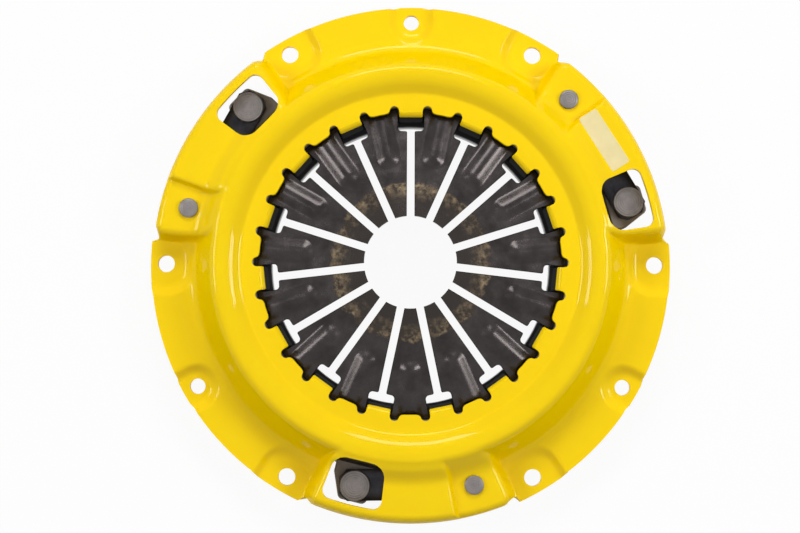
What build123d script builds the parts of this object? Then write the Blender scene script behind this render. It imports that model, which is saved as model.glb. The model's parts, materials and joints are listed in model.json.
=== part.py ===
from build123d import *
import os
from math import atan, cos, degrees, hypot, radians, sin, tan

# Bolt circle, sheet and the small clearances between pieces
bolt_circle_r = 130.0
bolt_hole_r = 4.5
dowel_hole_r = 4.1
gauge = 3.2
seat_gap = 0.04
neck_gap = 0.05
rivet_clearance = 0.08

# Widths of the cover's bands, counted inward from the bolt circle to the spring's fulcrum
rim_margin = 8.2
lip_step = 2.2
bolt_to_lug = 10.0
lug_to_wall = 7.6
pad_fall = 9.6
platform_fall = 10.5
skirt_fall = 11.8
crest_width = 7.2
rise_width = 6.9
seat_width = 5.9
bore_margin = 3.9

# Diaphragm spring and the two wire rings it rocks between
finger_count = 15
spring_gauge = 2.6
cone_angle = 11.5
fulcrum_z = 14.0
spring_overhang = 21.2
tip_r = 24.0
slot_width = 4.0
spring_window_width = 13.5
spring_window_length = 11.9
spring_window_corner = 2.0
spring_window_margin = 2.3
neck_depth = 0.3
rib_margin = 1.71
rib_height = 2.5
rib_length = 27.2
rib_end_margin = 2.3
wire_r = 1.66
wire_corner = 1.095

# Heights of the cover above its mounting face, or above the band beside it
skirt_rise = 3.4
crest_rise = 5.0
platform_drop = 2.0
pad_drop = 6.0
lip_drop = 8.0
hat_bends = [1.6, 2.2, 3.0, 2.6]
arc_bends = [2.0, 2.0, 2.6]

# Angles of the three raised arcs, measured from the start of each arc's own third
thirds = [0.0, 120.0, 240.0]
arc_start = 5.4
arc_end = 54.6
arc_overrun = 10.0
pad_start = 40.5
pad_lap = 12.0
window_angle = 16.1
window_span = 14.4
strap_rivet_angle = 46.2
wall_draft = 16.0
lip_trim_angle = 2.2
lip_flare_angle = 0.9
lip_flare = 0.9

# Windows over the lugs and the ears for bolts and dowels
window_inward = 14.7
window_outward = 9.3
window_inner_corner = 8.0
window_outer_corner = 4.5
ear_depth = 11.3
ear_half_angle = 6.2
ear_corner = 3.0
dowel_ear_half = 9.0
dowel_ear_depth = 8.0
pocket_height = 14.0
pocket_flare = 30.0
relief_width = 4.0
relief_depth = 4.0
relief_shift = 0.4

# Folded tabs that hold the lower wire
tab_clearance = 1.2
tab_inset = 3.4
tab_reach = 3.4
tab_bend = 1.4
tab_root = 4.0
notch_angle = 5.8
notch_width = 4.9
notch_depth = 3.3

# Pressure plate casting
plate_bore_r = 74.6
plate_face_z = -12.0
plate_top_z = -0.4
plate_edge = 4.0
plate_edge_depth = 5.0
land_inset = 1.0
land_width = 5.0
land_crown = 2.4
land_foot = 1.0
land_gap_count = 6
land_gap_width = 9.0
lug_top_z = 5.0
lug_bottom_z = -7.0
lug_reach = 9.0
lug_tip_half = 7.0
lug_root_half = 12.6
lug_root_depth = 3.6
lug_shoulder = 4.5
lug_edge = 0.8

# Drive straps and rivets
leaf_count = 2
leaf_thickness = 1.2
strap_width = 16.5
strap_flat = 9.5
strap_corner = 4.0
lug_shank_r = 4.0
lug_head_r = 8.0
lug_head_height = 2.8
pad_shank_r = 3.0
pad_head_r = 5.0
pad_head_height = 2.2
pad_closing_height = 2.0

# Radii that follow from the bolt circle and the bands
low_rim_r = bolt_circle_r + rim_margin
lip_r = low_rim_r - lip_step
lug_r = bolt_circle_r - bolt_to_lug
plate_outer_r = lug_r - lug_to_wall
crest_end_r = plate_outer_r - pad_fall
crest_start_r = crest_end_r - crest_width
rise_start_r = crest_start_r - rise_width
fulcrum_r = rise_start_r - seat_width
bore_r = fulcrum_r - bore_margin
spring_outer_r = fulcrum_r + spring_overhang
spring_window_outer_r = fulcrum_r - spring_window_margin
spring_window_inner_r = spring_window_outer_r - spring_window_length
neck_r = spring_window_outer_r - neck_depth
land_r = spring_outer_r - land_inset

# Heights and widths that follow from the spring and its wires
half_pitch = radians(180.0 / finger_count)
slope = tan(radians(cone_angle))
cos_cone = cos(radians(cone_angle))
sin_cone = sin(radians(cone_angle))
half_rise = spring_gauge / 2 / cos_cone
wire_offset = spring_gauge / 2 + wire_r + seat_gap
wire_stack = wire_offset * cos_cone + wire_r * wire_corner + seat_gap
inner_top = fulcrum_z + wire_stack + gauge
crest_top = inner_top + crest_rise
platform_top = inner_top - platform_drop
pad_top = inner_top - pad_drop
lip_bottom = platform_top - lip_drop
skirt_top = gauge + skirt_rise
pack_thickness = leaf_count * leaf_thickness
strap_pad_z = pad_top - gauge - pack_thickness
tab_width = spring_window_width - tab_clearance
rib_width = 2 * (spring_window_inner_r * sin(half_pitch) - spring_window_width / 2 - rib_margin)

# Places of the fingers and slots, and the reach of the cutting tools
finger_angles = [270.0 + 360.0 / finger_count * k for k in range(finger_count)]
slot_angles = [90.0 + 360.0 / finger_count * k for k in range(finger_count)]
beyond_r = low_rim_r * 1.1
below_z = 2 * plate_face_z
through = 3 * crest_top


def polar(radius, angle):
    return (radius * cos(radians(angle)), radius * sin(radians(angle)))


def turn(shape, angle):
    return Rot(0, 0, angle) * shape


def spring_mid(radius):
    return fulcrum_z + (fulcrum_r - radius) * slope


def parallel(points, inward):
    # Shifts a surface line by a distance to its underside, corner by corner
    sides = []
    for (x1, z1), (x2, z2) in zip(points, points[1:]):
        length = hypot(x2 - x1, z2 - z1)
        sides.append(((x2 - x1) / length, (z2 - z1) / length))
    moved = []
    for i, (x, z) in enumerate(points):
        ux, uz = sides[max(i - 1, 0)]
        vx, vz = sides[min(i, len(sides) - 1)]
        nx, nz = uz + vz, -(ux + vx)
        scale = inward / (1.0 + ux * vx + uz * vz)
        moved.append((x + nx * scale, z + nz * scale))
    return moved


def eased(points, cuts):
    # Replaces each inner corner by a short slanting flat, which keeps the facets few
    line = [points[0]]
    for before, corner, after, cut in zip(points, points[1:], points[2:], cuts):
        for other in (before, after):
            away = hypot(other[0] - corner[0], other[1] - corner[1])
            share = cut / away
            x = corner[0] + (other[0] - corner[0]) * share
            line.append((x, corner[1] + (other[1] - corner[1]) * share))
    return line + [points[-1]]


def under_line(points, cuts, inward, arc):
    # Solid below an eased surface line turned about the axis
    line = parallel(points, inward) if inward else eased(points, cuts)
    deep = below_z - inward
    closed = line + [(line[-1][0], deep), (line[0][0], deep)]
    return revolve(Plane.XZ * make_face(Polyline(*closed, close=True)), Axis.Z, arc)


def hat(inward):
    points = [
        (bore_r * 0.85, inner_top),
        (rise_start_r, inner_top),
        (crest_start_r, crest_top),
        (crest_end_r, crest_top),
        (crest_end_r + skirt_fall, skirt_top),
        (beyond_r, skirt_top),
    ]
    return under_line(points, hat_bends, inward, 360)


def raised_arc(inward, start, end, top, inner_r):
    # One raised part of the rim, with drafted and rounded ends
    points = [
        ((crest_start_r + crest_end_r) / 2, crest_top),
        (crest_end_r, crest_top),
        (inner_r, top),
        (lip_r - (top - lip_bottom) * tan(radians(wall_draft)), top),
        (lip_r + (lip_bottom + gauge) * tan(radians(wall_draft)), -gauge),
    ]
    body = turn(under_line(points, arc_bends, inward, end - start + 2 * arc_overrun), start - arc_overrun)
    mid, half = (start + end) / 2, (end - start) / 2
    reach = 1.3 * beyond_r
    depth = 3 * gauge
    wedge = Polyline((0, 0), polar(reach, -half), (reach, 0), polar(reach, half), close=True)
    side = inward / cos(radians(wall_draft)) - (gauge + depth) * tan(radians(wall_draft))
    shrunk = Pos(side / sin(radians(half)), 0, -depth) * make_face(wedge)
    return body & turn(extrude(shrunk, crest_top + 2 * depth, taper=wall_draft), mid)


def arc_form(inward):
    step = (pad_top - gauge) * tan(radians(wall_draft)) / lug_r
    platform_end = pad_start + degrees(step)
    platform = raised_arc(inward, arc_start, platform_end, platform_top, crest_end_r + platform_fall)
    pad = raised_arc(inward, pad_start - pad_lap, arc_end, pad_top, plate_outer_r)
    return platform + pad


def ear_pocket(inward):
    # Recess that drops the rim to the mounting plane around one bolt
    spread = degrees(inward / bolt_circle_r)
    half = ear_half_angle + spread
    inner = bolt_circle_r - ear_depth - inward
    corners = [
        polar(inner, -half),
        polar(beyond_r, -half),
        polar(beyond_r, half),
        polar(inner, half),
    ]
    outline = make_face(Polyline(*corners, close=True))
    nearest = outline.vertices().sort_by(Axis.X)[:2]
    outline = chamfer(nearest, ear_corner)
    return extrude(Pos(0, 0, gauge - inward) * outline, pocket_height, taper=-pocket_flare)


def dowel_pocket(inward):
    # Smaller round ended recess for one dowel
    half = dowel_ear_half + inward
    centre = bolt_circle_r - dowel_ear_depth + dowel_ear_half
    length = beyond_r - centre
    outline = Pos(centre, 0) * Circle(half)
    outline += Pos(centre + length / 2, 0) * Rectangle(length, 2 * half)
    return extrude(Pos(0, 0, gauge - inward) * outline, pocket_height, taper=-pocket_flare)


def pressed_form(inward):
    form = hat(inward)
    pocket = ear_pocket(inward)
    small = dowel_pocket(inward)
    for third in thirds:
        form -= turn(pocket, third)
        form -= turn(pocket, third + 60)
        form -= turn(small, third + 90)
    raised = arc_form(inward)
    for third in thirds:
        form += turn(raised, third)
    return form


def window_cut():
    ring = Circle(lug_r + window_outward) - Circle(lug_r - window_inward)
    half = window_span / 2
    opening = ring & sector(half)
    inner = opening.vertices().sort_by(Axis.X)[:2]
    opening = fillet(inner, window_inner_corner)
    outer = opening.vertices().sort_by(Axis.X)[-2:]
    opening = fillet(outer, window_outer_corner)
    return extrude(opening, through)


def tab():
    # Tongue bent down through the spring window and folded out under the lower wire
    top = inner_top
    low = fulcrum_z - wire_stack
    inner = bore_r - tab_inset
    root = bore_r + tab_root
    end = fulcrum_r + tab_reach
    points = [
        (root, top),
        (inner, top),
        (inner, low - gauge),
        (end, low - gauge),
        (end, low),
        (inner + gauge, low),
        (inner + gauge, top - gauge),
        (root, top - gauge),
    ]
    outline = make_face(Polyline(*points, close=True))
    bend = outline.vertices().sort_by(Axis.X)[:2].sort_by(Axis.Y)[-1]
    outline = chamfer(bend, tab_bend)
    return extrude(Plane.XZ * outline, tab_width / 2, both=True)


def sector(half):
    reach = 1.3 * beyond_r
    return make_face(Polyline((0, 0), polar(reach, -half), polar(reach, half), close=True))


def cover():
    shell = pressed_form(0) - pressed_form(gauge)
    keep = extrude(Circle(low_rim_r) - Circle(bore_r), through)
    shell = shell & keep
    half = (arc_end - arc_start) / 2
    trim = extrude(sector(half - lip_trim_angle) - Circle(lug_r), lip_bottom)
    flare = extrude(sector(half - lip_flare_angle) - Circle(lip_r + lip_flare), through)
    relief = Pos(low_rim_r, 0) * Rectangle(2 * relief_depth, relief_width)
    relief = extrude(relief, through)
    bolt = extrude(Pos(bolt_circle_r, 0) * Circle(bolt_hole_r), skirt_top)
    dowel = extrude(Pos(bolt_circle_r, 0) * Circle(dowel_hole_r), skirt_top)
    rivet = extrude(Pos(lug_r, 0) * Circle(pad_shank_r), through)
    notch = Pos(bore_r, 0) * Rectangle(2 * notch_depth, notch_width)
    notch = extrude(notch, through)
    window = window_cut()
    cuts = []
    for third in thirds:
        cuts.append(turn(trim, third + 30))
        cuts.append(turn(flare, third + 30))
        cuts.append(turn(window, third + window_angle))
        cuts.append(turn(rivet, third + strap_rivet_angle))
        cuts.append(turn(dowel, third + 90))
        cuts.append(turn(bolt, third))
        cuts.append(turn(bolt, third + 60))
        cuts.append(turn(relief, third + arc_start + relief_shift))
        cuts.append(turn(relief, third + arc_end - relief_shift))
    shell = shell - cuts
    tongue = tab()
    shell = shell + [turn(tongue, angle) for angle in slot_angles]
    notches = []
    for angle in finger_angles:
        notches.append(turn(notch, angle - notch_angle))
        notches.append(turn(notch, angle + notch_angle))
    return shell - notches


def wire_ring(side):
    # Six sided section with one flat against the spring, in place of round wire
    centre = Pos(fulcrum_r + side * wire_offset * sin_cone, 0, fulcrum_z + side * wire_offset * cos_cone)
    section = RegularPolygon(wire_r, 6, major_radius=False)
    face = centre * (Plane.XZ * (Rot(0, 0, -cone_angle) * section))
    return revolve(face, Axis.Z, 360)


def spring_cone():
    points = []
    for radius, side in ((tip_r, -1), (spring_outer_r, -1), (spring_outer_r, 1), (tip_r, 1)):
        points.append((radius, spring_mid(radius) + side * half_rise))
    face = make_face(Polyline(*points, close=True))
    return revolve(Plane.XZ * face, Axis.Z, 360)


def spring_openings():
    middle = (spring_window_outer_r + spring_window_inner_r) / 2
    opening = Pos(middle, 0) * Rectangle(spring_window_length, spring_window_width)
    opening = chamfer(opening.vertices(), spring_window_corner)
    opening += Pos(middle / 2, 0) * Rectangle(middle, slot_width)
    return extrude(opening, through)


def finger_plan(opening):
    half = 180.0 / finger_count
    plan = extrude((sector(half) & Circle(neck_r - neck_gap)) - Circle(tip_r), through)
    return plan - [turn(opening, -half), turn(opening, half)]


def slab(lower, upper):
    # Flat layer along the finger's slope, between two heights over its middle
    points = []
    near, far = tip_r / 2, spring_outer_r
    for radius, rise in ((near, lower), (far, lower), (far, upper), (near, upper)):
        points.append((radius, spring_mid(radius) + rise))
    return extrude(Plane.XZ * make_face(Polyline(*points, close=True)), tip_r, both=True)


def rib_arch(crown, half):
    # Upper outline of the rib's section, flat sided in place of a round arch
    return [
        (-half, 0),
        (-half * 0.78, crown * 0.62),
        (-half * 0.34, crown),
        (half * 0.34, crown),
        (half * 0.78, crown * 0.62),
        (half, 0),
    ]


def rib_bar(crown, half, start, end, level):
    # Arched bar along the finger's slope, narrowing to a nose at its inner end
    along = Plane((0, 0, spring_mid(0) + level), x_dir=(0, 1, 0), z_dir=(cos_cone, 0, -sin_cone))
    foot = -half_rise
    section = [(-half, foot)] + rib_arch(crown, half) + [(half, foot)]
    bar = extrude(along * make_face(Polyline(*section, close=True)), spring_outer_r)
    plan = [(start, -half / 3), (start + half / 1.5, -half), (end, -half)]
    plan += [(x, -y) for x, y in reversed(plan)]
    return bar & extrude(make_face(Polyline(*plan, close=True)), through)


def finger(opening):
    half = rib_width / 2
    end = spring_window_outer_r - rib_end_margin
    start = end - rib_length
    blank = finger_plan(opening) & slab(-half_rise, half_rise)
    raised = rib_bar(rib_height, half, start, end, half_rise)
    inset = spring_gauge * 0.6
    hollow = rib_bar(rib_height, half - inset, start + inset, end - inset, -half_rise)
    return blank + raised - hollow


def spring_ring(opening):
    cone = spring_cone()
    ring = cone - extrude(Circle(neck_r), through)
    return ring - [turn(opening, angle) for angle in slot_angles]


def pressure_plate():
    land_top = spring_mid(land_r) - half_rise - seat_gap
    crown = land_crown / 2
    foot = land_width / 2 + land_foot
    points = [
        (plate_bore_r, plate_face_z),
        (plate_outer_r, plate_face_z),
        (plate_outer_r, plate_top_z - plate_edge_depth),
        (plate_outer_r - plate_edge, plate_top_z),
        (land_r + foot, plate_top_z),
        (land_r + crown, land_top - crown * slope),
        (land_r - crown, land_top + crown * slope),
        (land_r - foot, plate_top_z),
        (plate_bore_r, plate_top_z),
    ]
    section = make_face(Polyline(*points, close=True))
    disc = revolve(Plane.XZ * section, Axis.Z, 360)
    gap = Pos(land_r, 0, plate_top_z) * extrude(Rectangle(4 * foot, land_gap_width), through)
    pitch = 360 / land_gap_count
    disc = disc - [turn(gap, window_angle + pitch * (k + 0.5)) for k in range(land_gap_count)]
    lug = drive_lug()
    disc = disc + [turn(lug, third + window_angle) for third in thirds]
    hole = extrude(Pos(lug_r, 0, 2 * lug_bottom_z) * Circle(lug_shank_r), through)
    return disc - [turn(hole, third + window_angle) for third in thirds]


def drive_lug():
    root_r = plate_outer_r - lug_root_depth
    shoulder_r = lug_r - lug_shoulder
    outer_r = lug_r + lug_reach
    corners = [
        (root_r, -lug_root_half),
        (shoulder_r, -lug_root_half),
        (outer_r, -lug_tip_half),
        (outer_r, lug_tip_half),
        (shoulder_r, lug_root_half),
        (root_r, lug_root_half),
    ]
    outline = make_face(Polyline(*corners, close=True))
    boss = extrude(Pos(0, 0, lug_bottom_z) * outline, lug_top_z - lug_bottom_z)
    return chamfer(boss.faces().sort_by(Axis.Z)[-1].edges(), lug_edge)


def strap_ends():
    # Rivet centres of one strap, seen from above
    first = Vector(*polar(lug_r, window_angle), 0)
    last = Vector(*polar(lug_r, strap_rivet_angle), 0)
    return first, last


def strap_leaf(index):
    first, last = strap_ends()
    span = (last - first).length
    low = lug_top_z + index * leaf_thickness
    high = strap_pad_z + index * leaf_thickness
    end = strap_width / 2
    line = [
        (-end, low),
        (strap_flat, low),
        (span - strap_flat, high),
        (span + end, high),
    ]
    upper = [(x, z + leaf_thickness) for x, z in reversed(line)]
    section = make_face(Polyline(*line, *upper, close=True))
    bar = extrude(Plane.XZ * section, end, both=True)
    plan = Pos(span / 2, 0) * Rectangle(span + strap_width, strap_width)
    plan = chamfer(plan.vertices(), strap_corner)
    plan -= Circle(lug_shank_r + rivet_clearance)
    plan -= Pos(span, 0) * Circle(pad_shank_r)
    leaf = bar & extrude(plan, through)
    direction = degrees(atan((last - first).Y / (last - first).X)) + 180
    return Pos(first) * Rot(0, 0, direction) * leaf


def rivet(shank_r, bottom, top, heads):
    # Turned rivet with a crowned upper head and a plain closing head if it has one
    head_r, height, closing_r, closing_height = heads
    points = [
        (0, bottom - closing_height),
        (closing_r, bottom - closing_height),
        (closing_r, bottom),
        (shank_r, bottom),
        (shank_r, top),
        (head_r, top),
        (head_r, top + height),
        (0, top + height),
    ]
    if closing_height == 0:
        points = [(0, bottom), (shank_r, bottom)] + points[4:]
    section = make_face(Polyline(*points, close=True))
    return revolve(Plane.XZ * section, Axis.Z, 360)


def at_thirds(shape):
    return Compound(children=[turn(shape, third) for third in thirds])


def main():
    os.makedirs("parts", exist_ok=True)
    nodes = {"cover": cover()}
    nodes["upper_fulcrum_wire"] = wire_ring(1)
    nodes["lower_fulcrum_wire"] = wire_ring(-1)
    opening = spring_openings()
    nodes["diaphragm_ring"] = spring_ring(opening)
    single = finger(opening)
    for k, angle in enumerate(finger_angles):
        nodes[f"diaphragm_finger_{k + 1:02d}"] = turn(single, angle)
    nodes["pressure_plate"] = pressure_plate()
    leaves = [strap_leaf(index) for index in range(leaf_count)]
    lug_top = lug_top_z + pack_thickness
    lug_heads = (lug_head_r, lug_head_height, 0, 0)
    lug_rivet = rivet(lug_shank_r, lug_bottom_z, lug_top, lug_heads)
    pad_heads = (pad_head_r, pad_head_height, pad_head_r, pad_closing_height)
    pad_rivet = rivet(pad_shank_r, strap_pad_z, pad_top, pad_heads)
    for leaf, name in zip(leaves, ("lower", "upper")):
        nodes[f"drive_straps_{name}"] = at_thirds(leaf)
    nodes["lug_rivets"] = at_thirds(Pos(*polar(lug_r, window_angle), 0) * lug_rivet)
    nodes["cover_rivets"] = at_thirds(Pos(*polar(lug_r, strap_rivet_angle), 0) * pad_rivet)
    for name, shape in nodes.items():
        export_step(shape, f"parts/{name}.step")


main()
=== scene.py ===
import json
import math

import bpy
import numpy as np
from mathutils import Matrix, Vector

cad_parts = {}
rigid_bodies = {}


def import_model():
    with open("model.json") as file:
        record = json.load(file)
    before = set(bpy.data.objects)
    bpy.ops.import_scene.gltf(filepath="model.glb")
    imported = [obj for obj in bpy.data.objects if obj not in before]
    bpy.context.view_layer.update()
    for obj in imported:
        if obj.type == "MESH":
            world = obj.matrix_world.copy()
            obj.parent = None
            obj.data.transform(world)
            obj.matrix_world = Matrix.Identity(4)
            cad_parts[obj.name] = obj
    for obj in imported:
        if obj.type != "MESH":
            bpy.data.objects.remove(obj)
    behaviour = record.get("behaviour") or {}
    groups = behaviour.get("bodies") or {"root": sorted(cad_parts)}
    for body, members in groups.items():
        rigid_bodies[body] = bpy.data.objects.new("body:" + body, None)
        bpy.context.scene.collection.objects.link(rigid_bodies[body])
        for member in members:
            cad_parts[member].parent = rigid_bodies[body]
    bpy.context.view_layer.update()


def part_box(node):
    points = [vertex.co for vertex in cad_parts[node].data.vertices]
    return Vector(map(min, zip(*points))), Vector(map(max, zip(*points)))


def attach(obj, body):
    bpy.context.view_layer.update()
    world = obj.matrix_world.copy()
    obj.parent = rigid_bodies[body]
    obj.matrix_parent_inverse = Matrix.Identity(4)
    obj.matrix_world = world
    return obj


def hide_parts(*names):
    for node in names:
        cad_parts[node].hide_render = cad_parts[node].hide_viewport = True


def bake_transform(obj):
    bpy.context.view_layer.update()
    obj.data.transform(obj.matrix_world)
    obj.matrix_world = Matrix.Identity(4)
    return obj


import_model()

# Sizes are in millimetres until a mesh is made
MM = 0.001
DEG = math.pi / 180.0

# Sheet and bands of the pressed cover
rim_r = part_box("cover")[1].x / MM
crest_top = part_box("cover")[1].z / MM
gauge = 3.2
lip_r = 135.8
skirt_rim_r = 137.3
lip_level = 12.0
bore_r = 78.9
rise_start_r = 88.7
crest_start_r = 95.6
crest_end_r = 102.8
skirt_start_r = 114.6
platform_start_r = 113.3
pad_start_r = 112.4
inner_top = crest_top - 5.0
platform_top = crest_top - 7.0
pad_top = crest_top - 11.0
skirt_top = gauge + 3.4
wall_draft = 16.0
wall_steepness = 1.0 / math.tan(wall_draft * DEG)
lip_roll_r = 4.0
step_roll_r = 2.4
plan_corner_r = 5.5
rise_start_round, crest_start_round, crest_end_round = 2.2, 13.0, 5.0
skirt_foot_round, platform_foot_round, pad_foot_round = 7.0, 9.0, 11.0
trim_start_r, draw_start_r = 118.0, 124.0

# Angles within one third of the cover, in degrees
thirds = (0.0, 120.0, 240.0)
arc_start, arc_end = 5.4, 54.6
step_angle = 40.8
window_angle, window_span = 16.1, 14.4
strap_rivet_angle = 46.2
dowel_angle = 90.0

# Holes, windows and ears
bolt_circle_r = 130.0
bolt_hole_r = 4.5
dowel_hole_r = 4.1
bolt_ear_half = 13.6
bolt_ear_inner_r = 118.6
bolt_ear_round = 9.5
dowel_ear_half = 9.0
dowel_ear_inner_r = 121.6
pocket_slope = 1.0 / math.tan(34.0 * DEG)
pocket_curl = 0.06
pocket_floor_round, pocket_brim_round = 3.4, 3.0
window_inner_r = 105.3
window_outer_r = 129.3
window_inner_round, window_outer_round = 8.0, 4.5
punch_low, punch_high = -5.0, 40.0

# Spring, fulcrum wires and tabs
finger_count = 15
spring_gauge = 2.6
cone_angle = 11.5
cone_slope = math.tan(cone_angle * DEG)
half_rise = spring_gauge / 2 / math.cos(cone_angle * DEG)
fulcrum_r, fulcrum_z = 82.8, 14.0
full_tilt = 0.259
wire_room = 0.1
spring_outer_r = 104.0
tip_r = 24.0
slot_half = 2.0
window_half = 6.75
spring_window_inner_r = 69.5
spring_window_outer_r = 80.5
rib_half = 5.8
rib_height = 2.5
rib_start_r = 51.0
wire_r = 1.66
wire_offset = 3.0
tab_half = 6.15
tab_bend_r = 76.7
tab_foot_r = 74.9
tab_fold_r = 86.2
tab_low_top = 9.2
tab_paint_z = 19.8
notch_angle = 5.8
notch_half = 2.45
notch_r = 82.5
notch_flare_r = 2.3

# Plate, straps and rivets
plate_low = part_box("pressure_plate")[0] / MM
plate_bore_r = 74.6
plate_outer_r = 112.4
plate_face_z = plate_low.z
plate_top_z = -0.4
land_r = 103.0
land_gap_half, land_gap_run = 3.6, 1.8
seat_gap = 0.04
lug_r = 120.0
lug_top_z, lug_bottom_z = 5.0, -7.0
lug_tip_r = 129.0
lug_tip_half, lug_root_half = 7.0, 12.6
leaf_thickness = 1.2
strap_half = 8.25
strap_flat = 9.5
strap_pad_z = 10.4

slot_angles = [90.0 + 24.0 * k for k in range(finger_count)]
finger_angles = [270.0 + 24.0 * k for k in range(finger_count)]


def smooth_step(x):
    """Zero below 0, one above 1, and a cubic that starts and ends level in between."""
    x = np.clip(x, 0.0, 1.0)
    return x * x * (3.0 - 2.0 * x)


def soft_max(a, b, width):
    """The larger of two heights, with the crossing rounded over the given width."""
    width = np.maximum(width, 1e-6)
    share = np.clip(0.5 + 0.5 * (a - b) / width, 0.0, 1.0)
    return b + (a - b) * share + width * share * (1.0 - share)


def soft_min(a, b, width):
    """The smaller of two heights, with the crossing rounded over the given width."""
    return -soft_max(-a, -b, width)


def corner_arc(before, corner, after, radius, steps):
    """Points of the arc that is tangent to both runs meeting at a corner."""
    back = (before - corner) / np.linalg.norm(before - corner)
    on = (after - corner) / np.linalg.norm(after - corner)
    half = math.acos(float(np.clip(back @ on, -1, 1))) / 2
    middle = (back + on) / np.linalg.norm(back + on)
    centre = corner + middle * radius / math.sin(half)
    start = corner + back * radius / math.tan(half) - centre
    end = corner + on * radius / math.tan(half) - centre
    first = math.atan2(start[1], start[0])
    turn = (math.atan2(end[1], end[0]) - first + math.pi) % (2 * math.pi) - math.pi
    angles = first + turn * np.linspace(0.0, 1.0, steps)
    return [centre + radius * np.array([math.cos(angle), math.sin(angle)]) for angle in angles]


def rounded_line(corners, radii, steps=9):
    """Straight runs between corners, with an arc tangent to both runs at each inner corner."""
    corners = [np.array(c, float) for c in corners]
    line = [corners[0]]
    for before, corner, after, radius in zip(corners, corners[1:], corners[2:], radii):
        line.extend(corner_arc(before, corner, after, radius, steps))
    line.append(corners[-1])
    return np.array(line)


def wall_height(inside, top, roll):
    """Drafted wall that climbs in a straight line and rolls over an arc to the top's height.
    inside is the distance in from the line where the wall crosses the lip's level."""
    lean = (90.0 - wall_draft) * DEG
    flat = (top - lip_level) / wall_steepness + roll * math.tan(lean / 2)
    x = flat - inside
    arc = top - roll + np.sqrt(np.maximum(roll * roll - x * x, 0.0))
    straight = lip_level + wall_steepness * inside
    return np.where(x <= 0, top, np.where(x < roll * math.sin(lean), arc, straight))


def rounded_inside(first, second, radius):
    """The smaller of two distances in from two walls, with a round plan corner between them."""
    corner = radius - np.hypot(radius - first, radius - second)
    return np.where((first < radius) & (second < radius), corner, np.minimum(first, second))


def crest_line(foot_r, foot_z, foot_roll):
    """Radial line of the pressing: bore flange, rise, crest, and the fall to a lower band."""
    corners = [
        (bore_r - 8, inner_top),
        (rise_start_r, inner_top),
        (crest_start_r, crest_top),
        (crest_end_r, crest_top),
        (foot_r, foot_z),
        (rim_r + 20, foot_z),
    ]
    return rounded_line(corners, [rise_start_round, crest_start_round, crest_end_round, foot_roll])


hat_line = crest_line(skirt_start_r, skirt_top, skirt_foot_round)
platform_line = crest_line(platform_start_r, platform_top, platform_foot_round)
pad_line = crest_line(pad_start_r, pad_top, pad_foot_round)


def on_line(line, r):
    """Height of a radial line at a radius."""
    return np.interp(r, line[:, 0], line[:, 1])


def blend_width(r, run_in, least, extra, fade_r, fade_run):
    """Width of the round where two pressed heights meet: none on the crest, the least plus the
    extra just outside it, and the least alone towards the rim."""
    inner = 1.0 - smooth_step((r - fade_r) / fade_run)
    return smooth_step((r - crest_end_r) / run_in) * (least + extra * inner)


def low_height(r, angle):
    """Pressed ring and skirt, sunk to the mounting plane by a pocket around each bolt and dowel.
    A pocket's wall climbs with the distance outside its ear, and a little steeper further out."""
    height = on_line(hat_line, r)
    ears = [(turn, bolt_ear_half, bolt_ear_inner_r, bolt_ear_round) for turn in (0.0, 60.0, 120.0)]
    ears.append((dowel_angle, dowel_ear_half, dowel_ear_inner_r, dowel_ear_half))
    for turn, half, inner_r, corner in ears:
        across = np.abs(r * np.sin((angle - turn) * DEG))
        along = inner_r - r * np.cos((angle - turn) * DEG)
        beside = np.maximum(across - half + corner, 0.0)
        within = np.maximum(along + corner, 0.0)
        outside = np.hypot(beside, within) - corner
        climb = pocket_slope * outside + pocket_curl * outside * np.abs(outside)
        floor = gauge + soft_max(0.0, climb, pocket_floor_round)
        height = soft_min(height, floor, pocket_brim_round)
    return height


def raised_height(r, angle):
    """Platform and lower rivet pad of one raised arc, with drafted ends and a rolled lip."""
    foot = (gauge - lip_level) / wall_steepness
    from_rim = lip_r - r
    from_start = r * (angle - arc_start) * DEG + foot
    from_end = r * (arc_end - angle) * DEG + foot
    from_step = r * (step_angle - angle) * DEG + (pad_top - lip_level) / wall_steepness
    ends = np.minimum(from_start, from_end)
    pad = wall_height(rounded_inside(from_rim, ends, plan_corner_r), on_line(pad_line, r), lip_roll_r)
    body = rounded_inside(from_rim, from_start, plan_corner_r)
    platform = wall_height(body, on_line(platform_line, r), lip_roll_r)
    step = wall_height(from_step, on_line(platform_line, r), step_roll_r)
    fade = blend_width(r, run_in=6.0, least=2.4, extra=6.0, fade_r=107.0, fade_run=13.0)
    return soft_max(np.minimum(platform, step), pad, fade)


def cover_height(r, angle):
    """Top surface of the cover over radius and angle: raised arcs laid over the low pressing."""
    angle = np.mod(angle, 120.0)
    fillet = blend_width(r, run_in=9.0, least=2.8, extra=4.5, fade_r=110.0, fade_run=12.0)
    return soft_max(low_height(r, angle), raised_height(r, angle), fillet)


def rim_outline(angle):
    """Radius of the trimmed edge: the ears' circle, and the lip's circle between two nicks."""
    corners = [
        (0.0, rim_r), (4.75, rim_r), (5.75, 134.6), (6.2, 134.7), (7.6, lip_r + 0.2), (9.0, lip_r),
        (51.3, lip_r), (52.0, lip_r - 0.3), (52.5, 134.7), (54.3, 134.5), (54.75, 134.9),
        (55.0, rim_r), (65.5, rim_r), (67.0, skirt_rim_r), (86.0, skirt_rim_r), (87.5, rim_r),
        (92.5, rim_r), (94.0, skirt_rim_r), (113.0, skirt_rim_r), (114.5, rim_r), (120.0, rim_r),
    ]
    places, radii = zip(*corners)
    return np.interp(np.mod(angle, 120.0), places, radii)


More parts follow.
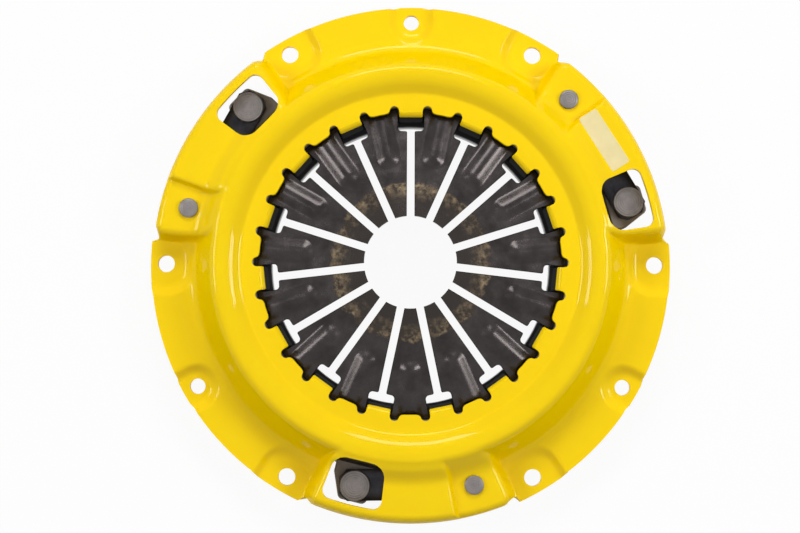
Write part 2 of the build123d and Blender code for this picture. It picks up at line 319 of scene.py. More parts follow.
def spread_angles():
    """Angles around the cover, closer together where an edge or a wall crosses the grid."""
    coarse, medium, fine = 0.95, 0.5, 0.24
    places = [3.9, 8.6, 39.6, 42.0, 51.0, 56.0, 65.4, 67.6, 82.6, 97.4, 112.4, 114.6, 123.9]
    walls = ((6.2, 3), (step_angle, 1.5), (53.5, 3), (66.5, 1.2), (113.5, 1.2))
    local = []
    for start, end in zip(places, places[1:]):
        middle = (start + end) / 2
        width = medium if abs(middle - dowel_angle) < 1 else coarse
        if any(abs(middle - wall) < reach for wall, reach in walls):
            width = fine
        count = max(2, int(round((end - start) / width)))
        local.extend(np.linspace(start, end, count, endpoint=False))
    return np.concatenate([np.array(local) + third for third in thirds])


def spread_radii():
    """Radii across the cover, closer together on bends and on the rolled lip."""
    runs = [(bore_r, 86.0, 3), (86.0, 106.0, 34), (106.0, 118.0, 11), (118.0, 129.0, 7), (129.0, lip_r, 16)]
    rows = [np.linspace(start, end, count, endpoint=False) for start, end, count in runs]
    return np.concatenate(rows + [np.array([lip_r])])


def grid_faces(rows, columns, close_rows=False, close_columns=False, start=0):
    """Quads of a grid of points counted row by row, joined round where asked."""
    row = np.arange(rows if close_rows else rows - 1)
    column = np.arange(columns if close_columns else columns - 1)
    i, j = np.meshgrid(row, column, indexing="ij")
    k, m = (i + 1) % rows, (j + 1) % columns
    quads = np.stack([i * columns + j, i * columns + m, k * columns + m, k * columns + j], -1)
    return quads.reshape(-1, 4) + start


def capped_tube(rows, columns):
    """Faces of a tube of closed loops, with one flat face over each end."""
    faces = grid_faces(rows, columns, close_columns=True).tolist()
    faces.append(list(range(columns)))
    faces.append([(rows - 1) * columns + i for i in range(columns)][::-1])
    return faces


def joined(shapes):
    """One array of points and one list of faces from several pairs of points and faces."""
    points, faces, start = [], [], 0
    for some, walls in shapes:
        points.append(some)
        faces.extend([[i + start for i in face] for face in walls])
        start += len(some)
    return np.concatenate(points), faces


def make_mesh(name, points, faces, material=None, sharp=None):
    """A mesh object from points in millimetres, smooth shaded up to the sharp angle."""
    mesh = bpy.data.meshes.new(name)
    mesh.from_pydata((np.asarray(points) * MM).tolist(), [], [list(map(int, f)) for f in faces])
    mesh.validate()
    mesh.update()
    piece = bpy.data.objects.new(name, mesh)
    bpy.context.scene.collection.objects.link(piece)
    mesh.shade_smooth()
    if sharp is not None:
        mesh.set_sharp_from_angle(angle=sharp * DEG)
    if material is not None:
        mesh.materials.append(material)
    return piece


def around(r, angle, z):
    """Points from radius, angle in degrees and height."""
    r, angle, z = np.broadcast_arrays(r, angle, z)
    return np.stack([r * np.cos(angle * DEG), r * np.sin(angle * DEG), z], -1)


def surface_normals(points):
    """Unit normals of a closed ring of grid rows, from central differences along and across."""
    down = np.gradient(points, axis=0)
    side = np.roll(points, -1, axis=1) - np.roll(points, 1, axis=1)
    normal = np.cross(down, side)
    return normal / np.linalg.norm(normal, axis=-1, keepdims=True)


def height_under(points):
    """Height of the sheet's underside at plan points: the lowest that a ball of the gauge's radius
    reaches when its centre follows the top surface, sampled over rings of directions."""
    lowest = np.full(points.shape[:-1], np.inf)
    turns = np.linspace(0, 2 * math.pi, 12, endpoint=False)
    ring_shares = (0.0, 0.4, 0.7, 0.88, 0.961, 0.995)
    for share in ring_shares:
        for turn in (turns if share else turns[:1]):
            x = points[..., 0] + gauge * share * math.cos(turn)
            y = points[..., 1] + gauge * share * math.sin(turn)
            top = cover_height(np.hypot(x, y), np.degrees(np.arctan2(y, x)))
            lowest = np.minimum(lowest, top - gauge * math.sqrt(1.0 - share * share))
    return lowest


def cover_sheet(material):
    """Closed sheet: the top surface, and under it the parallel surface one gauge away, whose outer
    rows are drawn in along the rim's normals so that the edge stands square to the sheet."""
    angle = spread_angles()
    base = spread_radii()
    rim = rim_outline(angle)
    share = np.clip((base - trim_start_r) / (lip_r - trim_start_r), 0.0, 1.0) ** 1.5
    r = base[:, None] + share[:, None] * (rim - lip_r)[None, :]
    top = around(r, angle[None, :], cover_height(r, angle[None, :]))
    draw = np.clip((base - draw_start_r) / (lip_r - draw_start_r), 0.0, 1.0) ** 1.6
    under = top.copy()
    under[..., :2] -= gauge * draw[:, None, None] * surface_normals(top)[-1:, :, :2]
    under[..., 2] = height_under(under)
    points = np.concatenate([top.reshape(-1, 3), under.reshape(-1, 3)])
    rows, columns = r.shape
    total = rows * columns
    upper = grid_faces(rows, columns, close_columns=True)[:, ::-1]
    lower = grid_faces(rows, columns, close_columns=True, start=total)
    ring = np.arange(columns)
    following = (ring + 1) % columns
    inner = np.stack([ring, following, following + total, ring + total], -1)
    edge = (rows - 1) * columns
    outer = np.stack([following + edge, ring + edge, ring + edge + total, following + edge + total], -1)
    faces = np.concatenate([upper, lower, inner, outer])
    return make_mesh("pressed_cover", points, faces, material)


def prism(outline, low, high):
    """Upright walls round an outline, closed top and bottom: points and faces."""
    outline = np.asarray(outline, float)
    count = len(outline)
    points = np.concatenate([
        np.column_stack([outline, np.full(count, low)]),
        np.column_stack([outline, np.full(count, high)]),
    ])
    ring = list(range(count))
    walls = [[i, (i + 1) % count, (i + 1) % count + count, i + count] for i in ring]
    return points, walls + [ring[::-1]] + [[i + count for i in ring]]


def circle_outline(centre_r, angle, radius, count=48):
    """Circle about a point at a radius and angle."""
    turn = np.linspace(0, 2 * math.pi, count, endpoint=False)
    local = np.column_stack([centre_r + radius * np.cos(turn), radius * np.sin(turn)])
    return turned(local, angle)


def turned(points, angle):
    """Plan points turned about the axis."""
    c, s = math.cos(angle * DEG), math.sin(angle * DEG)
    return np.asarray(points) @ np.array([[c, s], [-s, c]])


def spun(points, angle):
    """Points in space turned about the axis."""
    moved = points.copy()
    moved[:, :2] = turned(points[:, :2], angle)
    return moved


def window_outline(angle):
    """Ring sector with large inner and smaller outer corner rounds."""
    half = window_span / 2 * DEG
    steps = 9
    sweep = np.linspace(-half, half, steps)
    outer = np.column_stack([window_outer_r * np.cos(sweep), window_outer_r * np.sin(sweep)])
    inner = np.column_stack([window_inner_r * np.cos(sweep), window_inner_r * np.sin(sweep)])[::-1]
    rounds = {0: window_outer_round, steps - 1: window_outer_round,
              steps: window_inner_round, 2 * steps - 1: window_inner_round}
    return turned(soften_outline(np.concatenate([outer, inner]), rounds), angle)


def soften_outline(corners, radii, steps=8):
    """Closed outline with the listed corners replaced by tangent arcs that swallow nearby points."""
    line = []
    for i, corner in enumerate(corners):
        near = min(np.linalg.norm(corner - corners[k]) - radii[k] * 1.15 for k in radii)
        if i in radii:
            following = corners[(i + 1) % len(corners)]
            line.extend(corner_arc(corners[i - 1], corner, following, radii[i], steps))
        elif near >= 0:
            line.append(corner)
    return np.array(line)


def notch_outline(angle, finger_side):
    """Slot ending in a round, straight along the tab and eased by an arc into the finger's side."""
    centre_r, ease = notch_r - notch_half, notch_flare_r
    corner = np.array([bore_r + ease, math.sqrt((notch_half + ease) ** 2 - (bore_r + ease - centre_r) ** 2)])
    reach = math.atan2(corner[1], corner[0] - centre_r)
    turn = np.linspace(-math.pi / 2, reach, 16)
    round_end = np.column_stack([centre_r + notch_half * np.cos(turn), notch_half * np.sin(turn)])
    turn = np.linspace(reach + math.pi, math.pi, 8)[1:]
    flare = corner + ease * np.column_stack([np.cos(turn), np.sin(turn)])
    open_r = bore_r - 6
    mouth = [[open_r, corner[1]], [open_r, -notch_half]]
    local = np.concatenate([mouth, round_end, flare]) * np.array([1.0, finger_side])
    return turned(local[::finger_side], angle)


def cutters(paint, bare, bright):
    """All the punched openings as one mesh, whose cut walls keep the finish given for each."""
    painted, plain, shiny = 0, 1, 2
    outlines = []
    for third in thirds:
        outlines.append((window_outline(third + window_angle), painted))
        for angle, radius in ((0.0, bolt_hole_r), (60.0, bolt_hole_r), (dowel_angle, dowel_hole_r)):
            # Bolt and dowel hole walls take the near-black bare steel, darkened further as painted shade
            outlines.append((circle_outline(bolt_circle_r, third + angle, radius), plain))
    for angle in finger_angles:
        for side in (1, -1):
            outlines.append((notch_outline(angle - side * notch_angle, side), shiny))
    punches = [prism(outline, punch_low, punch_high) for outline, slot in outlines]
    counts = [len(walls) for points, walls in punches]
    slots = np.repeat([slot for outline, slot in outlines], counts)
    cutter = make_mesh("punches", *joined(punches))
    for material in (paint, bare, bright):
        cutter.data.materials.append(material)
    cutter.data.polygons.foreach_set("material_index", slots.astype(np.int32))
    return cutter


def apply_modifiers(piece):
    """Turns the piece with its modifiers into plain mesh."""
    graph = bpy.context.evaluated_depsgraph_get()
    mesh = bpy.data.meshes.new_from_object(piece.evaluated_get(graph))
    piece.modifiers.clear()
    piece.data = mesh
    return piece


def pressed_cover(paint, bare, bright):
    """The sheet with windows, holes and notches punched through it."""
    sheet = cover_sheet(paint)
    punch = cutters(paint, bare, bright)
    cut = sheet.modifiers.new("punched", "BOOLEAN")
    cut.operation = "DIFFERENCE"
    cut.solver = "EXACT"
    cut.object = punch
    apply_modifiers(sheet)
    bpy.data.objects.remove(punch)
    sheet.data.shade_smooth()
    sheet.data.set_sharp_from_angle(angle=38 * DEG)
    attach(sheet, "cover_body")
    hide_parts("cover")
    return sheet


def swept_strip(line, half, thickness, edge=0.5):
    """Strip of sheet on the left of a line in the radial plane, with its long edges eased: at each
    point of the line its section stands square to the line. Gives points and faces."""
    line = np.asarray(line, float)
    along = np.gradient(line, axis=0)
    along /= np.linalg.norm(along, axis=1, keepdims=True)
    inward = np.column_stack([-along[:, 1], along[:, 0]])
    section = [
        (-half, edge), (-half + edge, 0), (half - edge, 0), (half, edge),
        (half, thickness - edge), (half - edge, thickness),
        (-half + edge, thickness), (-half, thickness - edge),
    ]
    across, depth = np.array(section).T
    plan = line[:, None, :] + inward[:, None, :] * depth[None, :, None]
    points = np.stack([plan[..., 0], np.broadcast_to(across, plan.shape[:2]), plan[..., 1]], -1)
    return points.reshape(-1, 3), capped_tube(*points.shape[:2])


def tab_line():
    """Outer line of a folded tab: over the bend, down through the window, out under the wire.
    It starts a hair above the cover's face, so that the two surfaces don't coincide."""
    lap, hair, bend_round = 3.5, 0.02, 3.4
    low = tab_low_top - gauge
    corners = [
        (bore_r + lap, inner_top + hair),
        (tab_bend_r, inner_top + hair),
        (tab_foot_r, low),
        (tab_fold_r, low),
    ]
    return rounded_line(corners, [bend_round, bend_round], 10)


def folded_tabs(paint, bare):
    """Fifteen tongues, painted over the bend; where they pass through the spring they are bare steel darkened
    to near black, which is painted shade.
    """
    line = tab_line()
    points, faces = swept_strip(line, tab_half, gauge)
    columns = len(points) // len(line)
    paint_rows = int(np.sum(line[:, 1] > tab_paint_z))
    slots = [0 if min(face) // columns < paint_rows else 1 for face in faces] * finger_count
    shapes = [(spun(points, angle), faces) for angle in slot_angles]
    tabs = make_mesh("folded_tabs", *joined(shapes), paint, 40)
    tabs.data.materials.append(bare)
    tabs.data.polygons.foreach_set("material_index", np.array(slots, np.int32))
    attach(tabs, "cover_body")
    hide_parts("cover")


def spring_mid(r):
    """Height of the spring's middle surface, a cone through the fulcrum circle."""
    return fulcrum_z + (fulcrum_r - r) * cone_slope


def rib_rise(r, across, crown, half, start):
    """Height of the pressed rib: the crown times an arch that blends one less the square of the
    distance from the centre line with its own square. The nose is round, and the rib fades out
    before the fulcrum wire."""
    foot_share, fade_start_r, fade_run = 1.12, 77.5, 3.4
    from_line = np.hypot(np.minimum(r - start - half, 0.0), across) / (foot_share * half)
    arch = np.clip(1.0 - from_line ** 2, 0.0, 1.0)
    fade = 1.0 - smooth_step((r - fade_start_r) / fade_run)
    return crown * (0.45 * arch + 0.55 * arch ** 2) * fade


def slot_edge():
    """Radius and half width of the gap beside a finger: slot, spring window, then closed."""
    convex, concave = 0.9, 2.1
    mouth_step, end_step = 0.15, 0.2
    turn = np.linspace(0, math.pi / 2, 6)
    rows = [np.linspace(tip_r, 47.0, 14), np.linspace(47.5, 60.0, 26), np.linspace(61.0, 66.0, 5)]
    runs = [(r, slot_half) for r in np.concatenate(rows)]
    for a in turn:
        runs.append((spring_window_inner_r - convex + convex * math.sin(a),
                     slot_half + convex * (1 - math.cos(a))))
    for a in turn:
        runs.append((spring_window_inner_r + mouth_step + concave * (1 - math.cos(a)),
                     window_half - concave + concave * math.sin(a)))
    runs += [(r, window_half) for r in (72.2, 73.6, 75.0, 76.4, 77.6)]
    for a in turn:
        runs.append((spring_window_outer_r - end_step - concave + concave * math.sin(a),
                     window_half - concave + concave * math.cos(a)))
    runs += [(r, 0.0) for r in (80.5, 82.0, 84.0, 88.0, 92.0, 96.0, 100.0, spring_outer_r)]
    runs = np.array(runs)
    return runs[:, 0], runs[:, 1]


def finger_points():
    """Grid of one finger pointing along X: columns run over the top, round the edge and under.
    Each face draws in by the wire's room where it passes its wire. Over the lower wire and the
    land the underside also rises towards its sides by what the full tilt lowers them, which is
    the tilt's sine times the radius times one less the cosine of the angle."""
    rib_edge, rib_wall, ease = 7.0, 1.5, 0.35
    upper_shift, lower_shift, wire_reach = 0.6, -0.4, 2.4
    land_start_r, land_run = 97.0, 3.5
    r, gap = slot_edge()
    edge_angle = 180.0 / finger_count - np.degrees(np.arcsin(gap / r))
    inner_angle = np.minimum(np.degrees(np.arcsin(np.clip(rib_edge / r, 0, 1))), 0.86 * edge_angle)
    inner = np.linspace(-1, 1, 21)
    top_angle = inner[None, :] * inner_angle[:, None]
    side = (edge_angle - np.degrees(ease / r))[:, None]
    middle = (inner_angle[:, None] + side) / 2
    top_angle = np.concatenate([-side, -middle, top_angle, middle, side], axis=1)
    radius = np.broadcast_to(r[:, None], top_angle.shape)
    across = radius * np.sin(top_angle * DEG)
    crown = rib_rise(radius, across, rib_height, rib_half, rib_start_r)
    hollow = rib_rise(radius, across, rib_height, rib_half - rib_wall, rib_start_r + rib_wall)
    near_upper = smooth_step(2.0 - np.abs(radius - fulcrum_r - upper_shift) / wire_reach)
    near_lower = smooth_step(2.0 - np.abs(radius - fulcrum_r - lower_shift) / wire_reach)
    near_land = smooth_step((radius - land_start_r) / land_run)
    top = spring_mid(radius) + half_rise + crown - wire_room * near_upper
    dip = math.sin(full_tilt) * radius * (1.0 - np.cos(top_angle * DEG))
    relief = wire_room * near_lower + dip * np.maximum(near_lower, near_land)
    under = spring_mid(radius) - half_rise + hollow + relief
    edge = np.repeat(edge_angle[:, None], 2, axis=1)
    edge_r = np.repeat(r[:, None], 2, axis=1)
    heights = np.column_stack([top[:, -1] - ease, under[:, -1] + ease])
    loop_angle = np.concatenate([top_angle, edge, top_angle[:, ::-1], -edge], axis=1)
    loop_r = np.concatenate([radius, edge_r, radius, edge_r], axis=1)
    loop_z = np.concatenate([top, heights, under[:, ::-1], heights[:, ::-1]], axis=1)
    return around(loop_r, loop_angle, loop_z), top_angle.shape[1]


def loop_caps(rows, columns, half):
    """Quads that close the first and last loop of a tube whose loop runs out and back."""
    faces = []
    for row, flip in ((0, False), (rows - 1, True)):
        base = row * columns
        under = [base + half + 2 + i for i in range(half)][::-1]
        over = [base + i for i in range(half)]
        chain = list(zip(over, under))
        quads = [[a[0], b[0], b[1], a[1]] for a, b in zip(chain, chain[1:])]
        quads.append([over[-1], base + half, base + half + 1, under[-1]])
        quads.append([over[0], under[0], base + 2 * half + 2, base + 2 * half + 3])
        faces.extend([q[::-1] if flip else q for q in quads])
    return faces


def spring_fingers(steel):
    """Fifteen fingers of the diaphragm spring, each out to the spring's outer edge."""
    points, half = finger_points()
    rows, columns = points.shape[:2]
    faces = grid_faces(rows, columns, close_columns=True).tolist()
    faces = [f[::-1] for f in faces] + loop_caps(rows, columns, half)
    flat = points.reshape(-1, 3)
    for k, angle in enumerate(finger_angles):
        finger = make_mesh(f"spring_finger_{k + 1:02d}", spun(flat, angle), faces, steel, 42)
        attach(finger, f"finger_{k + 1:02d}")
        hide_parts(f"diaphragm_finger_{k + 1:02d}")
        if k == 0:
            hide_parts("diaphragm_ring")


def fulcrum_wires(wire):
    """Two round wire rings, each a circle carried round the fulcrum circle."""
    around_count, tube_count = 180, 14
    turn = np.linspace(0, 360, around_count, endpoint=False)[:, None]
    tube = np.linspace(0, 2 * math.pi, tube_count, endpoint=False)[None, :]
    cosine, sine = math.cos(cone_angle * DEG), math.sin(cone_angle * DEG)
    faces = grid_faces(around_count, tube_count, close_rows=True, close_columns=True)[:, ::-1]
    for name, side in (("upper", 1), ("lower", -1)):
        r = fulcrum_r + side * wire_offset * sine + wire_r * np.cos(tube)
        z = fulcrum_z + side * wire_offset * cosine + wire_r * np.sin(tube)
        ring = make_mesh(f"{name}_wire_ring", around(r, turn, z).reshape(-1, 3), faces, wire)
        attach(ring, "cover_body")
        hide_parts(f"{name}_fulcrum_wire")


def turned_piece(name, profile, centre, material, count=64, sharp=30):
    """A profile of radius and height carried round an upright axis, closed at both poles."""
    profile = np.asarray(profile, float)
    turn = np.linspace(0, 2 * math.pi, count, endpoint=False)
    ring = profile[1:-1]
    x = centre[0] + ring[:, :1] * np.cos(turn)[None, :]
    y = centre[1] + ring[:, :1] * np.sin(turn)[None, :]
    z = np.broadcast_to(ring[:, 1:], x.shape)
    points = np.stack([x, y, z], -1).reshape(-1, 3)
    faces = grid_faces(len(ring), count, close_columns=True).tolist()
    low, high = len(points), len(points) + 1
    last = (len(ring) - 1) * count
    for i in range(count):
        j = (i + 1) % count
        faces.append([low, j, i])
        faces.append([high, last + i, last + j])
    poles = [[centre[0], centre[1], profile[0, 1]], [centre[0], centre[1], profile[-1, 1]]]
    return make_mesh(name, np.concatenate([points, poles]), faces, material, sharp)


def rivet_profile(shank_r, bottom, seat, head_r, height, closing_r=0.0, closing=0.0):
    """Shank, crowned head with an eased edge, and a plain closing head where there is one."""
    ease, dome, draft, wall_share, shoulder = 0.5, 0.4, 0.02, 0.72, 0.1
    line = [(0, bottom - closing)]
    if closing:
        line += [(closing_r - ease, bottom - closing), (closing_r, bottom - closing + ease),
                 (closing_r, bottom)]
    line += [(shank_r, bottom), (shank_r, seat), (head_r, seat), (head_r + draft, seat + height * wall_share)]
    turn = np.linspace(0, math.pi / 2, 6)[1:]
    line += [(head_r - ease + ease * math.cos(a), seat + height - 2 * ease + ease * math.sin(a) + shoulder)
             for a in turn]
    crown = np.linspace(head_r - ease, 0, 8)
    line += [(r, seat + height - dome + dome * (1 - (r / head_r) ** 2)) for r in crown[1:]]
    return line


def rivets(steel):
    """Lug rivets on the plate and cover rivets on the low pads."""
    lug_line = rivet_profile(4.0, lug_bottom_z, lug_top_z + 2 * leaf_thickness, 8.0, 2.8)
    cover_line = rivet_profile(3.0, strap_pad_z, pad_top, 5.0, 2.2, closing_r=5.0, closing=2.0)
    spots = (("lug_rivet", lug_line, window_angle, "plate_body", "lug_rivets"),
             ("cover_rivet", cover_line, strap_rivet_angle, "cover_body", "cover_rivets"))
    for k, third in enumerate(thirds):
        for name, line, angle, body, node in spots:
            place = (third + angle) * DEG
            centre = (lug_r * math.cos(place), lug_r * math.sin(place))
            piece = turned_piece(f"{name}_{k + 1}", line, centre, steel)
            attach(piece, body)
            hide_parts(node)


def strap_frame(third):
    """Rivet centres of one strap and the unit vectors along and across it."""
    places = [(third + angle) * DEG for angle in (window_angle, strap_rivet_angle)]
    first, last = (np.array([math.cos(place), math.sin(place)]) * lug_r for place in places)
    along = (last - first) / np.linalg.norm(last - first)
    return first, last, along, np.array([-along[1], along[0]])


def leaf_section():
    """Section of one leaf: shares of its half width, and heights above its underside."""
    ease, bevel, flat, top = 0.18, 1 - 0.03, 0.4, leaf_thickness - 0.02
    section = [
        (-1, ease), (-bevel, 0), (-flat, 0), (flat, 0), (bevel, 0), (1, ease),
        (1, leaf_thickness - ease), (bevel, top), (flat, top),
        (-flat, top), (-bevel, top), (-1, leaf_thickness - ease),
    ]
    return np.array(section).T


def drive_straps(steel):
    """Two thin leaves per strap, flat under each rivet and bent gently between."""
    end, cut = strap_half, 4.0
    across, lift = leaf_section()
    for k, third in enumerate(thirds):
        first, last, along, aside = strap_frame(third)
        span = float(np.linalg.norm(last - first))
        u = np.concatenate([
            np.linspace(-end, cut - end, 4),
            np.linspace(cut - end, span + end - cut, 44)[1:-1],
            np.linspace(span + end - cut, span + end, 4),
        ])
        width = strap_half - np.maximum(0.0, cut - np.minimum(u + end, span + end - u))
        climb = smooth_step((u - strap_flat) / (span - 2 * strap_flat))
        plan = first + u[:, None, None] * along + (width[:, None] * across)[..., None] * aside
        leaves = []
        for leaf in range(2):
            base = lug_top_z + leaf * leaf_thickness + climb * (strap_pad_z - lug_top_z)
            z = base[:, None] + lift[None, :]
            grid = np.concatenate([plan, z[..., None]], -1)
            leaves.append((grid.reshape(-1, 3), capped_tube(*z.shape)))
        strap = make_mesh(f"drive_strap_{k + 1}", *joined(leaves), steel, 35)
        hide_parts("drive_straps_lower", "drive_straps_upper")
        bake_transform(strap)


def plate_casting(iron):
    """Ring casting: a closed section carried round, with the land lowered at six gaps, and lugs.
    The land is a low ridge that falls away inwards, so that the spring's edge can tilt over it.
    Each point of the section is a radius, a height, and a one where it belongs to the land."""
    count, ease = 288, 0.6
    turn = np.linspace(0, 360, count, endpoint=False)
    from_gap = 30 - np.abs(np.mod(turn - window_angle - 30, 60) - 30)
    land = smooth_step((from_gap * DEG * land_r - land_gap_half) / land_gap_run)
    land_top = spring_mid(land_r) - half_rise - seat_gap
    foot = plate_top_z + 1.0
    section = [
        (plate_bore_r, plate_face_z + ease, 0), (plate_bore_r + ease, plate_face_z, 0),
        (plate_outer_r - ease, plate_face_z, 0), (plate_outer_r, plate_face_z + ease, 0),
        (plate_outer_r, plate_top_z - 5.0, 0), (plate_outer_r - 1.2, plate_top_z - 1.6, 0),
        (plate_outer_r - 4.0, plate_top_z, 0), (land_r + 4.6, plate_top_z, 0),
        (land_r + 3.0, foot, 0), (land_r + 1.7, land_top - 1.2 * cone_slope - 0.5, 1),
        (land_r + 1.0, land_top - 1.0 * cone_slope, 1), (land_r + 0.7, land_top - 0.155, 1),
        (land_r - 1.0, land_top - 0.26, 1), (land_r - 1.7, land_top - 0.70, 1),
        (land_r - 3.0, foot, 0), (land_r - 4.6, plate_top_z, 0),
        (plate_bore_r + 2.0, plate_top_z, 0), (plate_bore_r, plate_top_z - 1.5, 0),
    ]
    r, z, on_land = np.array(section, float).T
    lowered = np.maximum(foot + (z - foot) * land[:, None], plate_top_z + 0.4)
    height = np.where(on_land > 0, lowered, z)
    ring = around(r, turn[:, None], height).reshape(-1, 3)
    walls = grid_faces(count, len(section), close_rows=True, close_columns=True)[:, ::-1].tolist()
    lug, lug_faces = lug_block()
    lugs = [(spun(lug, third + window_angle), lug_faces) for third in thirds]
    plate = make_mesh("plate_casting", *joined([(ring, walls)] + lugs), iron, 32)
    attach(plate, "plate_body")
    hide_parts("pressure_plate")


def lug_block():
    """Drive lug: a rounded plan carried up through eased levels, sunk into the rim at its root."""
    side_round, tip_round, ease = 2.5, 3.0, 0.8
    root, shoulder = plate_outer_r - 3.4, lug_r - 4.5
    plan = np.array([
        (root, -lug_root_half), (shoulder, -lug_root_half), (lug_tip_r, -lug_tip_half),
        (lug_tip_r, lug_tip_half), (shoulder, lug_root_half), (root, lug_root_half),
    ])
    outline = soften_outline(plan, {1: side_round, 2: tip_round, 3: tip_round, 4: side_round}, 7)
    centre = np.array([(root + lug_tip_r) / 2, 0.0])
    levels = [(lug_bottom_z, ease), (lug_bottom_z + ease, 0.0), (lug_top_z - ease, 0.0), (lug_top_z, ease)]
    rings = []
    for z, inset in levels:
        away = outline - centre
        shrink = 1 - inset / np.linalg.norm(away, axis=1, keepdims=True)
        rings.append(np.column_stack([centre + away * shrink, np.full(len(outline), z)]))
    points = np.concatenate(rings)
    count = len(outline)
    faces = grid_faces(len(levels), count, close_columns=True).tolist()
    faces.append(list(range(count))[::-1])
    faces.append([(len(levels) - 1) * count + i for i in range(count)])
    return points, faces


def blank_label(paper):
    """Thin paper label with small corner rounds, laid on the platform and left bare."""
    length, width, thick, corner_round = 33.0, 10.7, 0.12, 1.2
    middle_r, middle_angle = 120.2, 32.6
    corners = np.array([(-1, -1), (1, -1), (1, 1), (-1, 1)]) * np.array([width, length]) / 2
    outline = soften_outline(corners, dict.fromkeys(range(4), corner_round), 5)
    outline = turned(outline + np.array([middle_r, 0.0]), middle_angle)
    points, faces = prism(outline, platform_top - 0.05, platform_top + thick)
    label = make_mesh("blank_label", points, faces, paper, 30)
    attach(label, "cover_body")


def new_group(name, inputs, outputs):
    """Empty shader node group with the named sockets, and its input and output nodes."""
    group = bpy.data.node_groups.new(name, "ShaderNodeTree")
    for title, kind, value in inputs:
        socket = group.interface.new_socket(title, in_out="INPUT", socket_type=kind)
        if value is not None:
            socket.default_value = value
    for title, kind in outputs:
        group.interface.new_socket(title, in_out="OUTPUT", socket_type=kind)
    return group, group.nodes.new("NodeGroupInput"), group.nodes.new("NodeGroupOutput")


def map_range(nodes, links, value, low, high, to_low=0.0, to_high=1.0):
    """Value of a socket taken from one range to another, and held at its ends."""
    ramp = nodes.new("ShaderNodeMapRange")
    for title, number in (("From Min", low), ("From Max", high), ("To Min", to_low), ("To Max", to_high)):
        ramp.inputs[title].default_value = number
    links.new(value, ramp.inputs["Value"])
    return ramp.outputs["Result"]


def math_node(nodes, links, operation, *values):
    """Output of a Math node whose inputs, in order, are numbers or sockets."""
    node = nodes.new("ShaderNodeMath")
    node.operation = operation
    for socket, value in zip(node.inputs, values):
        if isinstance(value, float):
            socket.default_value = value
        else:
            links.new(value, socket)
    return node.outputs[0]


def noise_value(nodes, links, coords, scale, detail, roughness):
    """Noise on Object coordinates, at the scale that a socket gives."""
    noise = nodes.new("ShaderNodeTexNoise")
    noise.inputs["Detail"].default_value = detail
    noise.inputs["Roughness"].default_value = roughness
    links.new(coords.outputs["Object"], noise.inputs["Vector"])
    links.new(scale, noise.inputs["Scale"])
    return noise.outputs["Fac"]


def blotch_group():
    """Slow mottling and fine speckle of a surface, as two masks from 0 to 1."""
    inputs = [("Blotch Scale", "NodeSocketFloat", 60.0), ("Speckle Scale", "NodeSocketFloat", 900.0)]
    outputs = [("Blotch", "NodeSocketFloat"), ("Speckle", "NodeSocketFloat")]
    group, given, out = new_group("mottling", inputs, outputs)
    nodes, links = group.nodes, group.links
    coords = nodes.new("ShaderNodeTexCoord")
    for title, source, detail in (("Blotch", "Blotch Scale", 5.0), ("Speckle", "Speckle Scale", 2.0)):
        noise = noise_value(nodes, links, coords, given.outputs[source], detail, 0.6)
        links.new(map_range(nodes, links, noise, 0.32, 0.68), out.inputs[title])
    return group


def radius_group():
    """Distance from the clutch's axis in millimetres, plus a ragged wobble of the given size."""
    inputs = [("Wobble", "NodeSocketFloat", 0.0), ("Scale", "NodeSocketFloat", 220.0)]
    group, given, out = new_group("axis_distance", inputs, [("Radius", "NodeSocketFloat")])
    nodes, links = group.nodes, group.links
    coords = nodes.new("ShaderNodeTexCoord")
    flat = nodes.new("ShaderNodeVectorMath")
    flat.operation = "MULTIPLY"
    flat.inputs[1].default_value = (1000.0, 1000.0, 0.0)
    links.new(coords.outputs["Object"], flat.inputs[0])
    length = nodes.new("ShaderNodeVectorMath")
    length.operation = "LENGTH"
    links.new(flat.outputs[0], length.inputs[0])
    noise = noise_value(nodes, links, coords, given.outputs["Scale"], 6.0, 0.65)
    centred = math_node(nodes, links, "SUBTRACT", noise, 0.5)
    wobble = math_node(nodes, links, "MULTIPLY", centred, given.outputs["Wobble"])
    total = math_node(nodes, links, "ADD", length.outputs["Value"], wobble)
    links.new(total, out.inputs["Radius"])
    return group


def new_material(name, rough, metallic, coat=0.0, coat_rough=0.03):
    """Material with a Principled shader and its plain constants set on the shader's own sockets."""
    material = bpy.data.materials.new(name)
    material.use_nodes = True
    shader = material.node_tree.nodes["Principled BSDF"]
    shader.inputs["Roughness"].default_value = rough
    shader.inputs["Metallic"].default_value = metallic
    shader.inputs["Coat Weight"].default_value = coat
    shader.inputs["Coat Roughness"].default_value = coat_rough
    return material, material.node_tree.nodes, material.node_tree.links, shader


def add_group(nodes, group, **values):
    """A node group placed in a material, with its own values for the named inputs."""
    node = nodes.new("ShaderNodeGroup")
    node.node_tree = group
    for title, value in values.items():
        node.inputs[title.replace("_", " ")].default_value = value
    return node


def mix_colours(nodes, links, mask, first, second):
    """Colour that goes from first to second with the mask; each is a colour or a socket."""
    mix = nodes.new("ShaderNodeMix")
    mix.data_type = "RGBA"
    links.new(mask, mix.inputs["Factor"])
    for socket, value in ((mix.inputs["A"], first), (mix.inputs["B"], second)):
        if isinstance(value, tuple):
            socket.default_value = (*value, 1.0)
        else:
            links.new(value, socket)
    return mix.outputs["Result"]


def bump(nodes, links, shader, height, strength, distance):
    """Relief on the shader's normal from a height."""
    node = nodes.new("ShaderNodeBump")
    node.inputs["Strength"].default_value = strength
    node.inputs["Distance"].default_value = distance
    links.new(height, node.inputs["Height"])
    links.new(node.outputs["Normal"], shader.inputs["Normal"])


